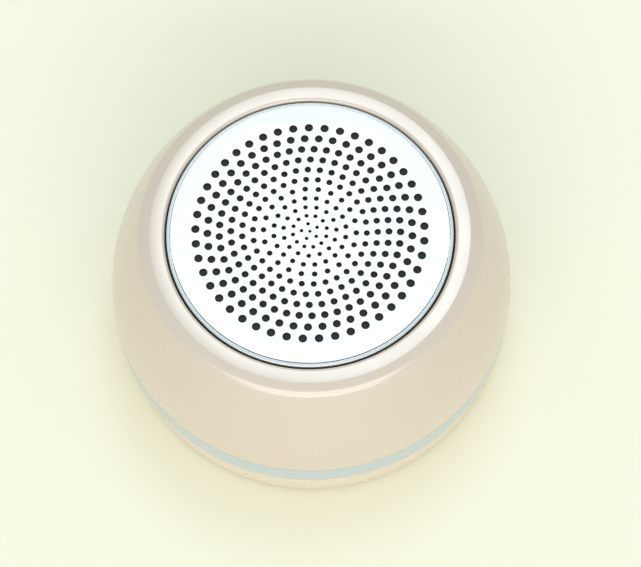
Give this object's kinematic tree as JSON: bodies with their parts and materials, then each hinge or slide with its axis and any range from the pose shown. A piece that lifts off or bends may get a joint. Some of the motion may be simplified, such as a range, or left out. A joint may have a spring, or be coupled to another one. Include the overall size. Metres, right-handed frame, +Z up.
{
  "type": "smart speaker",
  "caption": "Round squat table-top smart speaker with a flat perforated top disc in a polished ring, a light band low on the body, and keys and a power socket at the back.",
  "frame": {"origin": "centre of the foot ring's underside, on the surface the speaker stands on", "axes": "+Z up along the speaker's axis; the front faces -Y; the keys and the power socket are at the back, +Y"},
  "size_m": [0.1, 0.1, 0.054],
  "materials": {
    "white_disc": "fine matt white powder coat on a perforated aluminium disc",
    "black_cloth": "black acoustic cloth",
    "polished_trim": "polished, bevelled",
    "dark_foam": "dark closed-cell foam",
    "black_plastic": "moulded black ABS",
    "circuit_board": "green solder mask",
    "beige_plastic": "satin champagne beige, very fine",
    "key_plastic": "satin beige, finely textured",
    "light_band": "milky pale blue-grey diffuser, unlit",
    "dark_rubber": "matt non-slip rubber",
    "soft_rubber": "thin butyl rubber",
    "ribbon_film": "polyimide film",
    "black_steel": "black electro-coated pressed steel",
    "zinc_steel": "zinc plated",
    "ferrite": "sintered ferrite, matt dark grey",
    "copper_coil": "enamelled copper winding",
    "black_paper": "pressed paper pulp, black",
    "spider_cloth": "resin-stiffened woven cloth",
    "tag_board": "phenolic board",
    "white_plastic": "white nylon",
    "red_wire": "red insulation",
    "black_wire": "black insulation",
    "tinned_steel": "tin plated",
    "can_aluminium": "bare aluminium can",
    "screw_steel": "plated screw steel"
  },
  "bodies": {
    "housing": {"grille_disc": "white_disc", "grille_cloth": "black_cloth", "trim_ring": "polished_trim", "rim_gasket": "dark_foam", "grille_carrier": "black_plastic", "mic_board_right": "circuit_board", "mic_board_left": "circuit_board", "upper_shell": "beige_plastic", "light_ring": "light_band", "base_shell": "beige_plastic", "foot_ring": "dark_rubber", "button_board": "circuit_board", "button_flex": "ribbon_film", "driver_baffle": "black_plastic", "driver_basket": "black_steel", "driver_gasket": "dark_foam", "top_plate": "zinc_steel", "magnet": "ferrite", "yoke": "zinc_steel", "surround": "soft_rubber", "spider": "spider_cloth", "terminal_tag": "tag_board", "speaker_plug": "white_plastic", "speaker_lead_red": "red_wire", "speaker_lead_black": "black_wire", "main_board": "circuit_board", "processor_shield": "tinned_steel", "capacitor_1": "can_aluminium", "capacitor_2": "can_aluminium", "usb_socket": "tinned_steel", "led_carrier": "white_plastic", "led_strip": "circuit_board", "base_weight": "zinc_steel", "case_screw_1": "screw_steel", "baffle_screw_1": "screw_steel", "driver_screw_1": "screw_steel", "case_screw_2": "screw_steel", "baffle_screw_2": "screw_steel", "driver_screw_2": "screw_steel", "case_screw_3": "screw_steel", "baffle_screw_3": "screw_steel", "driver_screw_3": "screw_steel", "case_screw_4": "screw_steel", "baffle_screw_4": "screw_steel", "driver_screw_4": "screw_steel", "board_screw_1": "screw_steel", "board_screw_2": "screw_steel", "board_screw_3": "screw_steel"},
    "cone_assembly": {"cone": "black_paper", "voice_coil": "copper_coil", "dust_cap": "black_paper"},
    "volume_up_key_body": {"volume_up_key": "key_plastic"},
    "volume_down_key_body": {"volume_down_key": "key_plastic"},
    "mute_key_body": {"mute_key": "key_plastic"},
    "power_key_body": {"power_key": "key_plastic"}
  },
  "joints": [
    {"name": "cone_stroke", "type": "slide", "parent": "housing", "child": "cone_assembly", "axis": [0, 0, 1], "range_m": [-0.002, 0.002], "stiffness_N_per_m": 1500, "deforming": ["surround", "spider"]},
    {"name": "volume_up_key_press", "type": "slide", "parent": "housing", "child": "volume_up_key_body", "axis": [-0.2678, -0.9402, -0.2105], "range_m": [0, 0.0005], "stiffness_N_per_m": 1500},
    {"name": "volume_down_key_press", "type": "slide", "parent": "housing", "child": "volume_down_key_body", "axis": [-0.0903, -0.9734, -0.2105], "range_m": [0, 0.0005], "stiffness_N_per_m": 1500},
    {"name": "mute_key_press", "type": "slide", "parent": "housing", "child": "mute_key_body", "axis": [0.0903, -0.9734, -0.2105], "range_m": [0, 0.0005], "stiffness_N_per_m": 1500},
    {"name": "power_key_press", "type": "slide", "parent": "housing", "child": "power_key_body", "axis": [0.2678, -0.9402, -0.2105], "range_m": [0, 0.0005], "stiffness_N_per_m": 1500}
  ]
}
